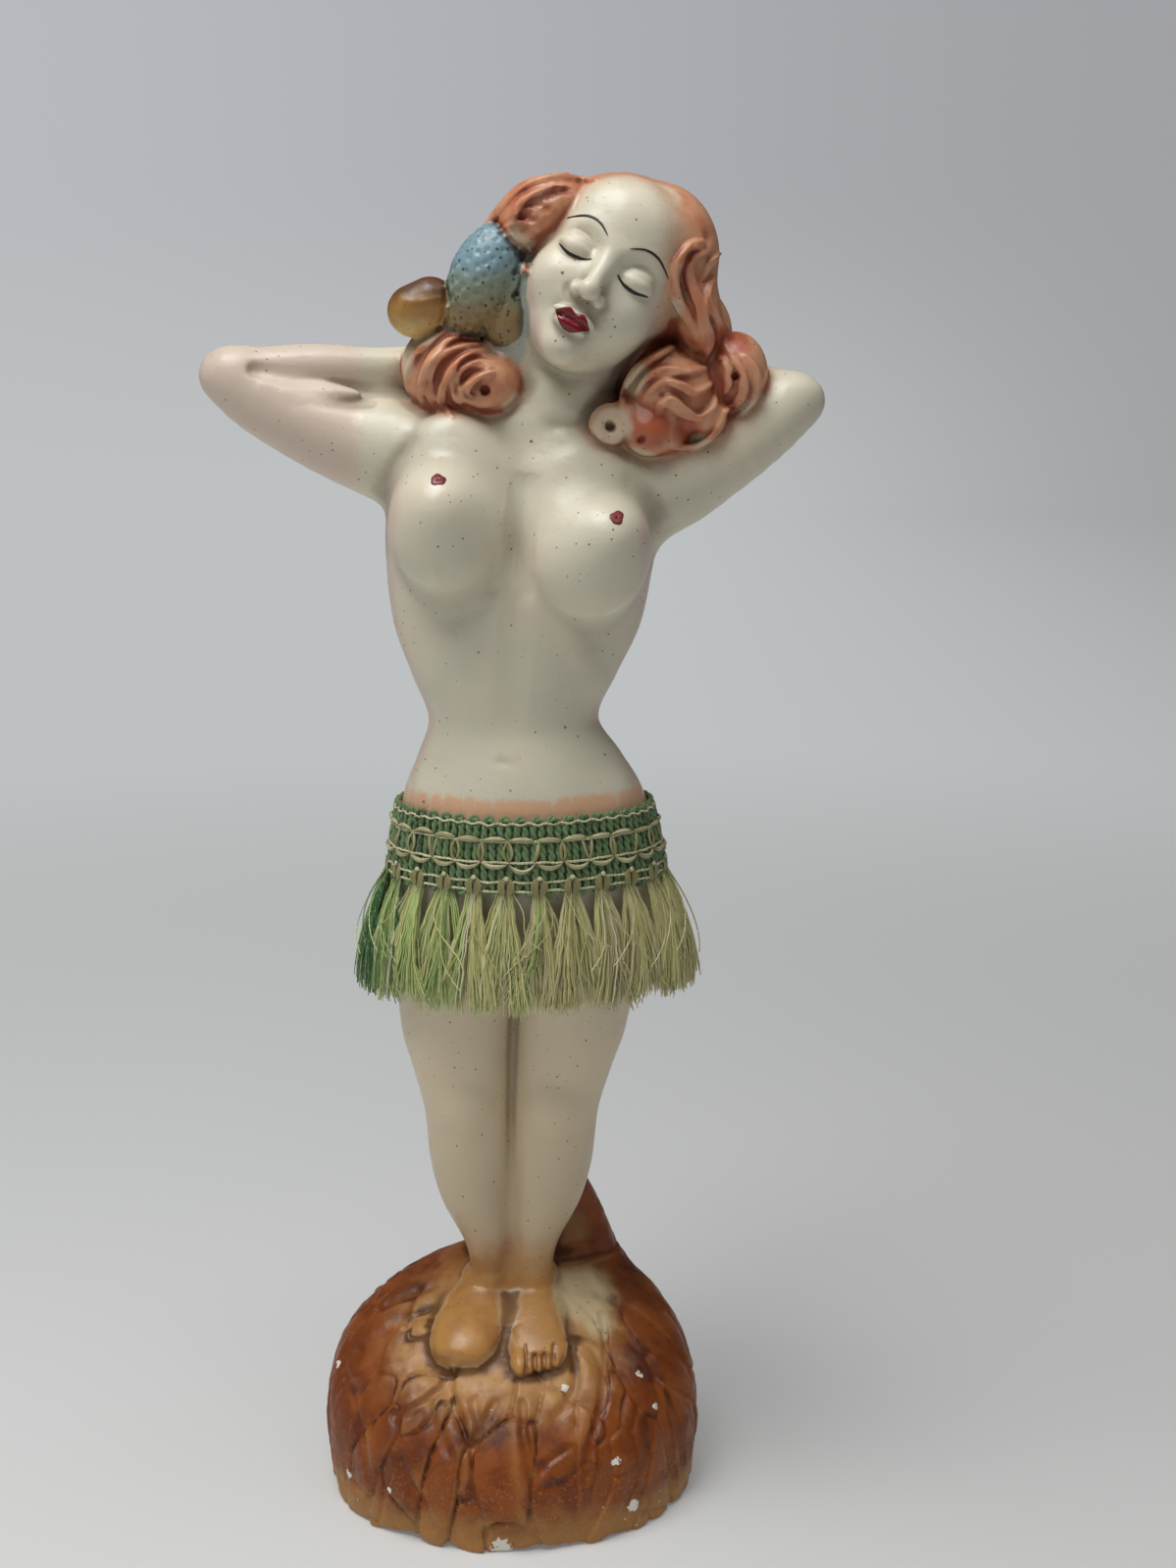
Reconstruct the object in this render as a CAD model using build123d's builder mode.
from build123d import *

import os
from math import cos, pi, sin

os.makedirs("parts", exist_ok=True)

# A plaster dancer on a lumpy mound, with a real trim band and fringe worn as a skirt.
# The origin is on the floor under the middle of the mound, -Y is the front, and sizes are in millimetres.

# Mound: the foot of the casting, open underneath
base_width = 112.0
base_depth = 95.0
mound_height = 64.0
cavity_height = 34.0
plaster_wall = 9.0
cut_overrun = 2.0
stump_width = 50.0
stump_depth = 30.0
stump_height = 50.0

# Figure, from the mound up
leg_length = 128.0
torso_height = 139.0
leg_lap = 4.0
ankle_width = 12.4
ankle_depth = 14.5
calf_width = 24.0
calf_depth = 26.0
thigh_width = 37.0
thigh_depth = 43.0
hip_width = 75.4
hip_depth = 54.0
hip_sway = 4.6
waist_width = 47.8
waist_depth = 33.0
chest_width = 76.0
chest_depth = 40.0
bust_width = 31.6
bust_height = 34.0
bust_depth = 30.0
foot_length = 34.0
left_foot_width = 18.6
right_foot_width = 15.6
foot_height = 12.0

# Arms, bent behind the head
left_reach = 57.5
right_reach = 48.5
left_forearm = 58.0
right_forearm = 48.0
upper_arm_girth = 28.0
forearm_girth = 15.4

# Head, hair and the flower above the ear
neck_girth = 25.0
neck_length = 24.0
head_width = 43.0
head_depth = 45.0
head_height = 56.0
head_roll = 31.0
head_pitch = 10.0
curl_ring = 9.6
curl_thickness = 4.4
flower_length = 30.0
flower_width = 19.0
petal_length = 19.0
petal_width = 14.0

# Skirt trim
band_height = 20.6
band_thickness = 1.8
band_gap = 0.4
seam_width = 0.4
seam_stitch = 3.0
fine_thread = 0.7
thick_cord = 1.3
seat_gap = 0.12
link_count = 28
tassel_count = 24
tassel_length = 34.0
tassel_flare = 10.5
tassel_spread = 11.0
knot_width = 4.8
knot_depth = 2.0
knot_height = 2.6
strand_root = 0.4
strand_tip = 0.75
strand_columns = 8
strand_rows = 2

# Sections of the figure, as (rise, across, back, width, depth)
mound_shares = (
    (0.00, 0.000, 0.000, 0.965, 0.965),
    (0.20, 0.000, 0.000, 0.985, 0.970),
    (0.40, 0.000, 0.012, 0.995, 0.920),
    (0.60, 0.000, 0.060, 0.945, 0.790),
    (0.77, 0.005, 0.125, 0.810, 0.620),
    (0.90, 0.020, 0.170, 0.610, 0.450),
    (1.00, 0.030, 0.210, 0.330, 0.260),
)
stump_shares = (
    (0.00, 0.20, 0.73, 1.00, 1.00),
    (0.32, 0.22, 0.73, 0.80, 0.80),
    (0.70, 0.13, 0.60, 0.60, 0.55),
    (1.00, 0.05, 0.43, 0.42, 0.40),
)
ankle_shares = (
    (0.000, 0.550, 0.380, 1.040, 1.080),
    (0.070, 0.520, 0.300, 0.960, 0.970),
    (0.133, 0.580, 0.270, 1.130, 1.080),
)
calf_shares = (
    (0.234, 0.430, 0.150, 0.850, 0.850),
    (0.328, 0.475, 0.150, 1.030, 1.020),
    (0.469, 0.520, 0.000, 1.080, 0.980),
)
thigh_shares = (
    (0.562, 0.380, -0.020, 0.780, 0.660),
    (0.672, 0.440, -0.020, 0.880, 0.800),
    (0.850, 0.430, 0.020, 1.000, 1.020),
    (1.000, 0.350, 0.030, 0.820, 0.920),
)
hip_shares = (
    (-0.140, 0.050, 0.060, 0.620, 0.660),
    (-0.070, 0.058, 0.055, 0.880, 0.880),
    (0.000, 0.061, 0.050, 0.976, 0.970),
    (0.065, 0.070, 0.045, 1.000, 1.000),
    (0.144, 0.066, 0.035, 0.960, 0.930),
    (0.230, 0.061, 0.012, 0.886, 0.796),
)
waist_shares = (
    (0.302, 0.075, 0.000, 1.190, 1.120),
    (0.374, 0.040, 0.000, 1.000, 1.000),
    (0.460, 0.046, 0.000, 1.190, 1.090),
)
chest_shares = (
    (0.561, 0.041, 0.0125, 0.900, 0.950),
    (0.676, 0.051, 0.025, 0.970, 1.000),
    (0.784, 0.071, 0.0375, 1.000, 0.975),
    (0.878, 0.105, 0.050, 0.960, 0.800),
    (0.950, 0.158, 0.075, 0.737, 0.625),
    (1.000, 0.184, 0.075, 0.447, 0.525),
)
standing_share = 0.89

# Outlines round a section, as shares of the oval at equal angles
round_shares = (1.0,) * 12
rock_shares = (1.0, 0.985, 1.01, 0.975, 1.0, 1.02, 0.99, 1.01, 0.98, 1.015, 0.985, 1.01)

# Arm sections from the shoulder, as (x, y, z, girth): places in shares of the arm's reach
left_upper_shares = (
    (0.00, 0.00, 0.00, 1.00),
    (-0.42, 0.00, 0.15, 0.84),
    (-0.78, 0.00, 0.33, 0.70),
    (-0.89, 0.00, 0.42, 0.57),
)
right_upper_shares = (
    (0.00, 0.00, 0.00, 1.06),
    (0.42, 0.02, 0.20, 0.88),
    (0.76, 0.04, 0.41, 0.68),
    (0.86, 0.06, 0.50, 0.55),
)
left_forearm_shares = (
    (0.00, 0.00, 0.00, 1.00),
    (0.36, 0.05, 0.04, 0.86),
    (0.68, 0.10, 0.04, 0.72),
    (1.00, 0.17, 0.05, 0.80),
)
right_forearm_shares = (
    (0.00, 0.00, 0.00, 1.00),
    (0.30, 0.14, 0.10, 0.97),
    (0.66, 0.25, 0.24, 0.88),
    (0.98, 0.32, 0.36, 0.95),
)
shoulder_across_share = 0.395
shoulder_rise_shares = (0.875, 0.825)

# Rounded masses of the head, as (place, half sizes, roll): shares of the head's height, in the head's frame
face_mass_shares = (
    ((0.0, -0.17, -0.26), (0.28, 0.25, 0.24), 0),
    ((0.0, -0.42, -0.08), (0.055, 0.065, 0.13), 0),
)
# Hair, curls and locks, as (place, half sizes, roll) from the middle of the head, in the figure's frame
hair_mass_shares = (
    ((0.05, 0.13, 0.05), (0.44, 0.38, 0.43), 28),
    ((-0.32, -0.03, 0.28), (0.235, 0.21, 0.145), -32),
    ((0.31, 0.07, 0.15), (0.22, 0.30, 0.29), -20),
    ((0.46, 0.06, -0.12), (0.135, 0.25, 0.34), -12),
    ((0.14, 0.27, -0.28), (0.48, 0.23, 0.36), 0),
    ((-0.40, 0.14, -0.10), (0.15, 0.25, 0.34), 10),
    ((-0.73, 0.06, -0.45), (0.27, 0.24, 0.24), 20),
    ((-0.56, -0.06, -0.50), (0.15, 0.15, 0.15), 0),
    ((0.30, -0.04, -0.55), (0.22, 0.21, 0.22), 0),
    ((0.25, -0.08, -0.72), (0.15, 0.15, 0.13), 0),
    ((0.47, -0.06, -0.66), (0.11, 0.13, 0.11), 0),
    ((0.62, 0.05, -0.46), (0.16, 0.19, 0.20), 0),
    ((-0.42, -0.02, -0.32), (0.15, 0.17, 0.24), -12),
    ((0.09, -0.13, -0.68), (0.13, 0.11, 0.10), 0),
)
# Rings of hair, as (place, size) in the same frame
curl_ring_shares = (
    ((0.03, -0.20, -0.68), 1.00),
    ((-0.52, -0.20, -0.52), 0.90),
    ((0.20, -0.25, -0.64), 0.70),
    ((0.48, -0.19, -0.64), 0.70),
    ((0.66, -0.10, -0.48), 0.80),
    ((0.44, -0.19, -0.34), 0.90),
)
flower_place_shares = (-0.585, -0.07, -0.01)
flower_lobe_shares = (
    ((-0.482, -0.043, -0.190), (0.143, 0.143, 0.160), 0),
    ((-0.678, -0.025, -0.170), (0.140, 0.143, 0.143), 0),
)
petal_shares = (
    ((-0.885, -0.05, -0.145), 1.00, 24),
    ((-0.80, 0.07, -0.20), 0.85, 10),
)
flower_roll = 23.0

# Trim places, as shares of the band's height or of the knot
edge_thread_share = 0.94
upper_cord_share = 0.72
lower_cord_share = 0.42
hem_thread_shares = (0.17, 0.05)
band_place_share = 0.055
strand_bow_share = 0.62
strand_knee_share = 0.38
strand_wave_share = 0.12
link_lean_share = 0.35
link_foot_share = 0.2
seam_stitch_shares = (0.11, 0.29, 0.57, 0.83)
tie_share = 0.11


def mix(low, high, share):
    """A value part of the way from low to high."""
    return low + (high - low) * share


def rows_of(shares, foot, height, width, depth):
    """Level sections (z, across, back, width, depth) from shares of the sizes that they follow."""
    return [
        (foot + height * rise, width * across, depth * back, width * wide, depth * deep)
        for rise, across, back, wide, deep in shares
    ]


def section_at(rows, level):
    """The section of a form at a level, on a smooth curve through its rows."""
    last = len(rows) - 1
    at = max(k for k in range(last) if rows[k][0] <= level or k == 0)
    low, high = rows[at], rows[at + 1]
    before, after = rows[max(at - 1, 0)], rows[min(at + 2, last)]
    rise = high[0] - low[0]
    s = min(max((level - low[0]) / rise, 0), 1)
    section = [level]
    for k in range(1, len(low)):
        slope_low = rise * (high[k] - before[k]) / (high[0] - before[0])
        slope_high = rise * (after[k] - low[k]) / (after[0] - low[0])
        eased = mix(low[k], high[k], s * s * (3 - 2 * s))
        section.append(eased + s * (1 - s) * (slope_low * (1 - s) - slope_high * s))
    return section


def oval_points(width, depth, outline=round_shares):
    """Points round an oval, moved in or out by the outline's shares."""
    turn = 2 * pi / len(outline)
    return [
        (width / 2 * share * cos(k * turn), depth / 2 * share * sin(k * turn))
        for k, share in enumerate(outline)
    ]


def level_loft(rows, grow=0, outline=round_shares):
    """A solid through level ovals, each grown all round."""
    with BuildPart() as form:
        for level, across, back, width, depth in rows:
            with BuildSketch(Plane((across, back, level))):
                with BuildLine():
                    points = oval_points(width + 2 * grow, depth + 2 * grow, outline)
                    Spline(*points, periodic=True)
                make_face()
        loft()
    return form.part


def even_rows(rows, count):
    """The sections of a form at levels that are an equal step apart."""
    return [section_at(rows, mix(rows[0][0], rows[-1][0], k / (count - 1))) for k in range(count)]


def ellipsoid(place, half_sizes, roll=0):
    """A rounded mass, with its half sizes along X, Y and Z before it rolls about Y."""
    with BuildPart(mode=Mode.PRIVATE) as mass:
        Sphere(1)
    return Location(place, (0, roll, 0)) * scale(mass.part, by=tuple(half_sizes))


def limb(start, reach, girth, shares):
    """A solid through round sections along an arm, and the places of the sections."""
    places = [Vector(*start) + Vector(x, y, z) * reach for x, y, z, _ in shares]
    with BuildPart() as form:
        for k, (_, _, _, size) in enumerate(shares):
            ahead = places[min(k + 1, len(places) - 1)] - places[max(k - 1, 0)]
            with BuildSketch(Plane(places[k], x_dir=(0, 1, 0), z_dir=ahead)):
                Circle(girth * size / 2)
        loft()
    return form.part, places


# Levels that the figure is built up through
standing_level = mound_height * standing_share
crotch_level = standing_level + leg_length - leg_lap

# Mound and the stump behind the calves
mound_rows = rows_of(mound_shares, 0, mound_height, base_width, base_depth)
stump_foot = standing_level - plaster_wall
stump_rows = rows_of(stump_shares, stump_foot, stump_height + plaster_wall, stump_width, stump_depth)
mound = level_loft(even_rows(mound_rows, 8), outline=rock_shares)
stump = level_loft(even_rows(stump_rows, 5))

# Legs, mirrored about a midline that sways towards the hip
leg_rows = (
    rows_of(ankle_shares, standing_level, leg_length, ankle_width, ankle_depth)
    + rows_of(calf_shares, standing_level, leg_length, calf_width, calf_depth)
    + rows_of(thigh_shares, standing_level, leg_length, thigh_width, thigh_depth)
)


def leg(side):
    """A leg on the given side: -1 for the figure's right, seen on the left, and 1 for the other."""
    rows = []
    for level, across, back, width, depth in leg_rows:
        sway = hip_sway * ((level - standing_level) / leg_length) ** 3
        rows.append((level, sway + side * across, back, width, depth))
    return level_loft(even_rows(rows, 13))


# Web of plaster that closes the gap between the legs, as (rise, across, back, width, depth)
leg_web_shares = (
    (0.00, 0.00, 0.28, 0.30, 0.34),
    (0.30, 0.00, 0.12, 0.46, 0.40),
    (0.70, 0.00, 0.02, 0.52, 0.46),
    (1.00, 0.00, 0.02, 0.40, 0.42),
)
web_rise_shares = (0.08, 0.84)
web_rows = rows_of(
    leg_web_shares,
    standing_level + leg_length * web_rise_shares[0],
    leg_length * (web_rise_shares[1] - web_rise_shares[0]),
    calf_width,
    calf_depth,
)
web_rows = [
    (level, hip_sway * ((level - standing_level) / leg_length) ** 3, *row) for level, _, *row in web_rows
]
leg_web = level_loft(even_rows(web_rows, 5))

# Feet, from heel to toes, lying down the slope of the mound, as (along, width, height)
foot_shares = (
    (-0.14, 0.55, 0.95),
    (0.25, 0.68, 1.05),
    (0.62, 0.95, 0.80),
    (0.92, 1.00, 0.58),
    (1.12, 0.62, 0.36),
)
foot_slope_share = -0.38
foot_lift_share = 0.2
toe_turn_shares = (-0.26, 0.05)


def foot(side, width, turn_share):
    """A foot that points forward and down, turned out to one side."""
    ankle = leg_rows[0]
    lift = foot_height * foot_lift_share
    heel = Vector(side * ankle[1], ankle[2] + ankle_depth / 3, standing_level + lift)
    way = Vector(turn_share, -1, foot_slope_share).normalized()
    across = Vector(1, turn_share, 0).normalized()
    with BuildPart() as form:
        for along, wide, high in foot_shares:
            place = heel + way * (foot_length * along)
            with BuildSketch(Plane(place, x_dir=across, z_dir=way)):
                with BuildLine():
                    Spline(*oval_points(width * wide, foot_height * high), periodic=True)
                make_face()
        loft()
    return form.part


# Torso and bust
torso_rows = (
    rows_of(hip_shares, crotch_level, torso_height, hip_width, hip_depth)
    + rows_of(waist_shares, crotch_level, torso_height, waist_width, waist_depth)
    + rows_of(chest_shares, crotch_level, torso_height, chest_width, chest_depth)
)
torso = level_loft(even_rows(torso_rows, 17))
bust_across_shares = (-0.265, 0.253)
bust_rise_shares = (0.762, 0.708)
bust_front_share = 0.44
busts = [
    ellipsoid(
        (
            section_at(torso_rows, crotch_level + torso_height * rise)[1] + chest_width * across,
            -chest_depth * bust_front_share,
            crotch_level + torso_height * rise,
        ),
        (bust_width / 2, bust_depth / 2, bust_height / 2),
    )
    for across, rise in zip(bust_across_shares, bust_rise_shares)
]

# Shoulders, where the arms lift away from the chest, as (across, back, rise), half sizes and roll
shoulder_mass_shares = (
    ((-0.50, 0.075, 0.915), (0.23, 0.31, 0.085), 12),
    ((0.49, 0.075, 0.850), (0.22, 0.31, 0.090), -20),
)
shoulders = [
    ellipsoid(
        (
            section_at(torso_rows, crotch_level + torso_height * rise)[1] + chest_width * across,
            chest_depth * back,
            crotch_level + torso_height * rise,
        ),
        (chest_width * wide, chest_depth * deep, torso_height * tall),
        roll,
    )
    for (across, back, rise), (wide, deep, tall), roll in shoulder_mass_shares
]

# Web between the left upper arm and forearm, in shares of the arm's reach from the shoulder
arm_web_shares = ((-0.46, 0.07, 0.33), (0.40, 0.08, 0.15), 6)

# Arms
joint_share = 1.06
arms = []
for side, rise, reach, upper, fore_reach, fore in (
    (-1, shoulder_rise_shares[0], left_reach, left_upper_shares, left_forearm, left_forearm_shares),
    (1, shoulder_rise_shares[1], right_reach, right_upper_shares, right_forearm, right_forearm_shares),
):
    level = crotch_level + torso_height * rise
    middle = section_at(torso_rows, level)
    shoulder = (middle[1] + side * chest_width * shoulder_across_share, middle[2], level)
    upper_arm, places = limb(shoulder, reach, upper_arm_girth, upper)
    elbow = places[-1]
    mirrored = [(-side * x, y, z, size) for x, y, z, size in fore]
    forearm, fore_places = limb(elbow, fore_reach, forearm_girth, mirrored)
    elbow_size = upper_arm_girth * upper[-1][3] * joint_share / 2
    hand_size = forearm_girth * fore[-1][3] * joint_share / 2
    arms += [
        upper_arm,
        forearm,
        ellipsoid(elbow, (elbow_size,) * 3),
        ellipsoid(fore_places[-1], (hand_size,) * 3),
    ]
    if side < 0:
        place, half_sizes, roll = arm_web_shares
        web_place = Vector(*shoulder) + Vector(*place) * reach
        arms.append(ellipsoid(web_place, [reach * share for share in half_sizes], roll))

# Neck and head
nape = torso_rows[-1]
neck_lean_share = 0.62
neck_shares = ((-0.35, 1.06), (0.25, 0.96), (1.00, 0.94))
with BuildPart() as neck:
    for along, size in neck_shares:
        place = (nape[1] + neck_length * neck_lean_share * along, nape[2], nape[0] + neck_length * along)
        with BuildSketch(Plane(place)):
            Circle(neck_girth * size / 2)
    loft()
head_across_share = 0.25
head_rise_share = 0.60
head_forward_share = 0.10
head_middle = Vector(
    nape[1] + head_height * head_across_share,
    nape[2] - head_height * head_forward_share,
    nape[0] + head_height * head_rise_share,
)
head_frame = Location(head_middle, (-head_pitch, head_roll, 0))


def head_mass(frame, place_shares, size_shares, roll):
    """A rounded mass of the head, placed and sized by shares of the head's height."""
    place = [head_height * share for share in place_shares]
    return frame * ellipsoid(place, [head_height * share for share in size_shares], roll)


face = [head_frame * ellipsoid((0, 0, 0), (head_width / 2, head_depth / 2, head_height / 2))]
face += [head_mass(head_frame, *shares) for shares in face_mass_shares]
hair = [head_mass(Location(head_middle), *shares) for shares in hair_mass_shares]
rings = []
for place, size in curl_ring_shares:
    centre = head_middle + Vector(*place) * head_height
    with BuildPart(Plane(centre, z_dir=(0, -1, 0))) as ring:
        Torus(curl_ring * size / 2, curl_thickness * size / 2)
    rings.append(ring.part)

# Flower: a pitted dome with two lobes below it, and its smooth petals
flower = ellipsoid(
    head_middle + Vector(*flower_place_shares) * head_height,
    (flower_width / 2, flower_width / 2, flower_length / 2),
    flower_roll,
)
lobes = [head_mass(Location(head_middle), *shares) for shares in flower_lobe_shares]
petals = [
    ellipsoid(
        head_middle + Vector(*place) * head_height,
        (petal_length * size / 2, petal_width * size / 2, petal_width * size / 2),
        -roll,
    )
    for place, size, roll in petal_shares
]

# Hollow under the mound, one wall inside it
cavity_rows = [(-cut_overrun, *mound_rows[0][1:])] + [
    section_at(mound_rows, cavity_height * share) for share in (0.5, 1.0)
]
cavity = level_loft(cavity_rows, grow=-plaster_wall)

base_masses = [mound, stump, leg(-1), leg(1), leg_web]
base_masses += [foot(-1, left_foot_width, toe_turn_shares[0]), foot(1, right_foot_width, toe_turn_shares[1])]
body_masses = [torso, *busts, *shoulders, *arms, neck.part]
head_masses = [*face, *hair, *rings, flower, *lobes, *petals]


def joined(masses):
    """Masses that run into each other, as one solid."""
    with BuildPart() as form:
        add(masses, clean=False)
    return form.part


# Casting: one pour of plaster from the mound to the hair
with BuildPart() as casting:
    add([joined(base_masses), joined(body_masses), joined(head_masses)], clean=False)
    add(cavity, mode=Mode.SUBTRACT, clean=False)
casting.part.label = "figure_casting"
export_step(casting.part, "parts/figure_casting.step")

# Band: a woven strip that follows the hips, lapped at the back
band_foot = crotch_level + torso_height * band_place_share
band_rows = [section_at(torso_rows, band_foot + band_height * share) for share in (0, 1 / 3, 2 / 3, 1)]
with BuildPart() as band:
    add(level_loft(band_rows, grow=band_gap + band_thickness))
    tall_rows = [(band_foot - cut_overrun, *band_rows[0][1:]), *band_rows[1:-1]]
    tall_rows.append((band_foot + band_height + cut_overrun, *band_rows[-1][1:]))
    add(level_loft(tall_rows, grow=band_gap), mode=Mode.SUBTRACT)
    # The two ends of the strip butt at the back
    with Locations((band_rows[0][1], hip_depth, band_foot)):
        Box(seam_width, hip_depth, 3 * band_height, mode=Mode.SUBTRACT)
band.part.label = "skirt_band"
export_step(band.part, "parts/skirt_band.step")


def band_point(turn, share, out=0):
    """A point outside the band at an angle round it and a share of its height."""
    level, across, back, width, depth = section_at(torso_rows, band_foot + band_height * share)
    grow = band_gap + band_thickness + out
    return Vector(across + (width / 2 + grow) * cos(turn), back + (depth / 2 + grow) * sin(turn), level)


def thread_round(share, size):
    """A thread that lies round the outside of the band at a share of its height."""
    levels = [share * band_height + band_foot + size * step for step in (-0.5, 0, 0.5)]
    rows = [section_at(torso_rows, level) for level in levels]
    seat = band_gap + band_thickness + seat_gap
    with BuildPart() as thread:
        for row, out in zip(rows, (size / 2, size, size / 2)):
            with BuildSketch(Plane((row[1], row[2], row[0]))):
                with BuildLine():
                    Spline(*oval_points(row[3] + 2 * (seat + out), row[4] + 2 * (seat + out)), periodic=True)
                make_face()
        loft(ruled=True)
        add(level_loft(rows, grow=seat), mode=Mode.SUBTRACT)
    return thread.part


# Threads and cords round the band
for name, share, size in (
    ("edge_thread", edge_thread_share, fine_thread),
    ("upper_cord", upper_cord_share, thick_cord),
    ("lower_cord", lower_cord_share, thick_cord),
    ("hem_thread_upper", hem_thread_shares[0], fine_thread),
    ("hem_thread_lower", hem_thread_shares[1], fine_thread),
):
    thread = thread_round(share, size)
    thread.label = name
    export_step(thread, f"parts/{name}.step")


def even_turns(count, start):
    """Angles round the band that part equal lengths of it, from a share of a step past the back."""
    steps = 360
    turns = [pi / 2 + 2 * pi * k / steps for k in range(steps + 1)]
    points = [band_point(turn, 0) for turn in turns]
    runs = [0.0]
    for k in range(steps):
        runs.append(runs[-1] + (points[k + 1] - points[k]).length)
    found = []
    for k in range(count):
        wanted = runs[-1] * (k + start) / count
        at = max(i for i in range(steps) if runs[i] <= wanted)
        found.append(mix(turns[at], turns[at + 1], (wanted - runs[at]) / (runs[at + 1] - runs[at])))
    return found


def rod(start, end, size):
    """A length of thread from start to end."""
    with BuildPart(Plane((start + end) / 2, z_dir=end - start)) as form:
        Cylinder(size / 2, (end - start).length)
    return form.part


# Links: the loops that run between the two cords
link_turns = even_turns(2 * link_count, 1)
link_out = fine_thread / 2 + 3 * seat_gap
cord_clear = (thick_cord / 2 + fine_thread / 2 + seat_gap) / band_height
link_rods = []
for k in range(link_count):
    foot_turn = link_turns[2 * k]
    foot_point = band_point(foot_turn, lower_cord_share + cord_clear, link_out)
    for side in (-1, 1):
        step = (link_turns[1] - link_turns[0]) * 2 * link_lean_share
        head_point = band_point(foot_turn + side * step, upper_cord_share - cord_clear, link_out)
        start = foot_point + (head_point - foot_point) * link_foot_share
        link_rods.append(rod(start, head_point, fine_thread))
with BuildPart() as links:
    add(link_rods)
links.part.label = "cord_links"
export_step(links.part, "parts/cord_links.step")

# Ties: a knot of thread above each tassel
tassel_turns = even_turns(tassel_count, 1 / 2)
tie_room = (hem_thread_shares[0] - hem_thread_shares[1]) * band_height - fine_thread
tie_size = tie_room / 2 - seat_gap
with BuildPart() as ties:
    with Locations(*[band_point(turn, tie_share, tie_size + seat_gap) for turn in tassel_turns]):
        Sphere(tie_size)
ties.part.label = "tassel_ties"
export_step(ties.part, "parts/tassel_ties.step")

# Stitches that close the seam at the back
stitch_half = Vector(seam_stitch / 2, 0, 0)
with BuildPart() as stitches:
    places = [band_point(pi / 2, share, link_out) for share in seam_stitch_shares]
    add([rod(place - stitch_half, place + stitch_half, fine_thread) for place in places])
stitches.part.label = "seam_stitches"
export_step(stitches.part, "parts/seam_stitches.step")


def strand(column, row, kind):
    """One strand of a tassel: a tapering four-sided prism that bows outwards from the knot."""
    across = column - (strand_columns - 1) / 2
    outward = row - (strand_rows - 1) / 2
    cut = 1 - strand_wave_share * ((column * 5 + row * 3 + kind * 7) % strand_columns) / strand_columns
    root = Vector(across * knot_width, outward * knot_depth, 0) / strand_columns
    root.Y = outward * knot_depth / strand_rows
    tip = Vector(across * tassel_flare / strand_columns, -tassel_spread + root.Y * 2, -tassel_length * cut)
    knee = Vector(
        mix(root.X, tip.X, strand_bow_share),
        mix(root.Y, tip.Y, strand_bow_share),
        mix(0, tip.Z, strand_knee_share),
    )
    with BuildPart() as form:
        for place, share in ((root, 0), (knee, strand_bow_share), (tip, 1)):
            top = place - Vector(0, 0, knot_height * (1 - share) * strand_bow_share)
            with BuildSketch(Plane(top)):
                Rectangle(mix(strand_root, strand_tip, share), mix(strand_root, strand_tip, share))
        loft(ruled=True)
    return form.part


def tassel(kind):
    """A tassel that hangs from its knot, with its front towards -Y."""
    strands = [strand(column, row, kind) for column in range(strand_columns) for row in range(strand_rows)]
    with BuildPart() as form:
        Box(knot_width, knot_depth, knot_height, align=(Align.CENTER, Align.CENTER, Align.MAX))
        add(strands)
    return form.part


# Fringe: tassels side by side under the band
tassel_kinds = [tassel(kind) for kind in range(3)]
for k, turn in enumerate(tassel_turns):
    ahead = band_point(turn + pi / 180, 0) - band_point(turn - pi / 180, 0)
    middle = band_point(turn, 0, -band_thickness / 2)
    hanging = Location(Plane((middle.X, middle.Y, band_foot - seat_gap), x_dir=ahead, z_dir=(0, 0, 1)))
    piece = hanging * tassel_kinds[k * 2 % 3]
    piece.label = f"tassel_{k + 1:02d}"
    export_step(piece, f"parts/tassel_{k + 1:02d}.step")
